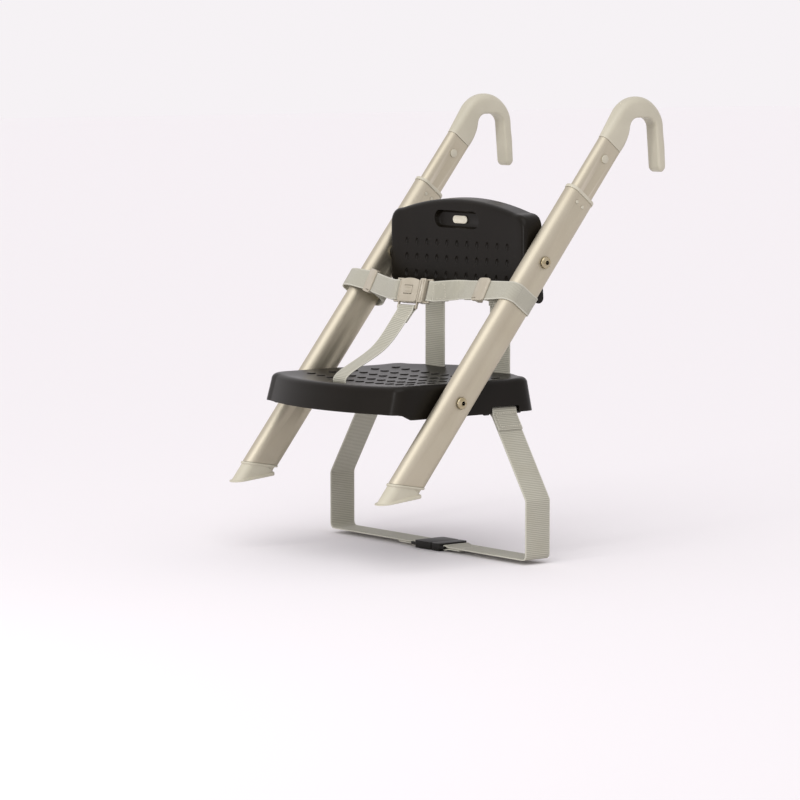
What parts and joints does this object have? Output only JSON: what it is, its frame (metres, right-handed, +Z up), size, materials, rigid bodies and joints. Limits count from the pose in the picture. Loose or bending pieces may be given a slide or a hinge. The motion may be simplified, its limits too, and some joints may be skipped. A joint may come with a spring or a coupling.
{
  "type": "portable child booster seat",
  "caption": "Child's booster seat that stands on a dining chair and hooks over its back, with telescopic legs, a folding seat and backrest, a lap belt and a chair strap.",
  "frame": {"origin": "on the plane of the chair's seat, midway between the toes of the two feet", "axes": "+Z up, +Y towards the chair's back, +X to the right when the seat is seen from the front"},
  "size_m": [0.3834, 0.443, 0.5527],
  "materials": {
    "aluminium": "satin anodised",
    "grey_plastic": "fine matt texture",
    "black_plastic": "satin moulded",
    "zinc_steel": "zinc plated",
    "nylon": "plain",
    "webbing": "woven"
  },
  "bodies": {
    "frame": {"left_lower_tube": "aluminium", "left_collar": "grey_plastic", "left_foot": "grey_plastic", "left_seat_bolt": "zinc_steel", "left_seat_nut": "zinc_steel", "left_seat_washer": "nylon", "left_back_bolt": "zinc_steel", "left_back_nut": "zinc_steel", "left_back_washer": "nylon", "left_lap_strap": "webbing", "right_lower_tube": "aluminium", "right_collar": "grey_plastic", "right_foot": "grey_plastic", "right_seat_bolt": "zinc_steel", "right_seat_nut": "zinc_steel", "right_seat_washer": "nylon", "right_back_bolt": "zinc_steel", "right_back_nut": "zinc_steel", "right_back_washer": "nylon", "right_lap_strap": "webbing", "buckle_socket": "grey_plastic", "crotch_strap": "webbing"},
    "left_extension": {"left_upper_tube": "aluminium", "left_hook": "grey_plastic", "left_guide_shoe": "black_plastic"},
    "right_extension": {"right_upper_tube": "aluminium", "right_hook": "grey_plastic", "right_guide_shoe": "black_plastic"},
    "seat": {"seat_pan": "black_plastic", "left_strap_bar": "zinc_steel", "right_strap_bar": "zinc_steel", "left_seat_rod": "zinc_steel", "right_seat_rod": "zinc_steel", "crotch_rod": "zinc_steel", "left_suspension_strap": "webbing", "right_suspension_strap": "webbing", "left_chair_strap": "webbing", "right_chair_strap": "webbing", "chair_buckle_socket": "black_plastic"},
    "backrest": {"backrest_shell": "black_plastic", "label_plate": "grey_plastic", "left_back_rod": "zinc_steel", "right_back_rod": "zinc_steel"},
    "plug": {"buckle_plug": "grey_plastic"},
    "button": {"buckle_button": "grey_plastic"},
    "left_belt_slider": {"left_slider": "grey_plastic"},
    "right_belt_slider": {"right_slider": "grey_plastic"},
    "chair_plug": {"chair_buckle_plug": "black_plastic"}
  },
  "joints": [
    {"name": "left_leg_length", "type": "slide", "parent": "frame", "child": "left_extension", "axis": [0, 0.6252, 0.7804], "range_m": [-0.047, 0.035]},
    {"name": "right_leg_length", "type": "slide", "parent": "frame", "child": "right_extension", "axis": [0, 0.6252, 0.7804], "range_m": [-0.047, 0.035]},
    {"name": "seat_fold", "type": "hinge", "parent": "frame", "child": "seat", "pos_m": [0, 0.11612, 0.11324], "axis": [1, 0, 0], "range_deg": [0, 48], "deforming": ["left_suspension_strap", "right_suspension_strap", "crotch_strap"]},
    {"name": "backrest_fold", "type": "hinge", "parent": "frame", "child": "backrest", "pos_m": [0, 0.24517, 0.27432], "axis": [-1, 0, 0], "range_deg": [0, 38.7], "deforming": ["left_suspension_strap", "right_suspension_strap", "left_lap_strap", "right_lap_strap"]},
    {"name": "buckle_release", "type": "slide", "parent": "frame", "child": "plug", "axis": [0.9781, 0.2079, 0], "range_m": [0, 0.03], "deforming": ["right_lap_strap"]},
    {"name": "button_press", "type": "slide", "parent": "frame", "child": "button", "axis": [-0.1966, 0.9249, -0.3256], "range_m": [0, 0.0012], "stiffness_N_per_m": 300},
    {"name": "left_slider_slide", "type": "slide", "parent": "frame", "child": "left_belt_slider", "axis": [0.9306, -0.3611, -0.0592], "range_m": [0, 0.019]},
    {"name": "right_slider_slide", "type": "slide", "parent": "frame", "child": "right_belt_slider", "axis": [-0.9973, 0.0571, -0.0457], "range_m": [0, 0.019]},
    {"name": "chair_buckle_release", "type": "slide", "parent": "seat", "child": "chair_plug", "axis": [1, 0, 0], "range_m": [0, 0.03], "deforming": ["right_chair_strap"]}
  ]
}
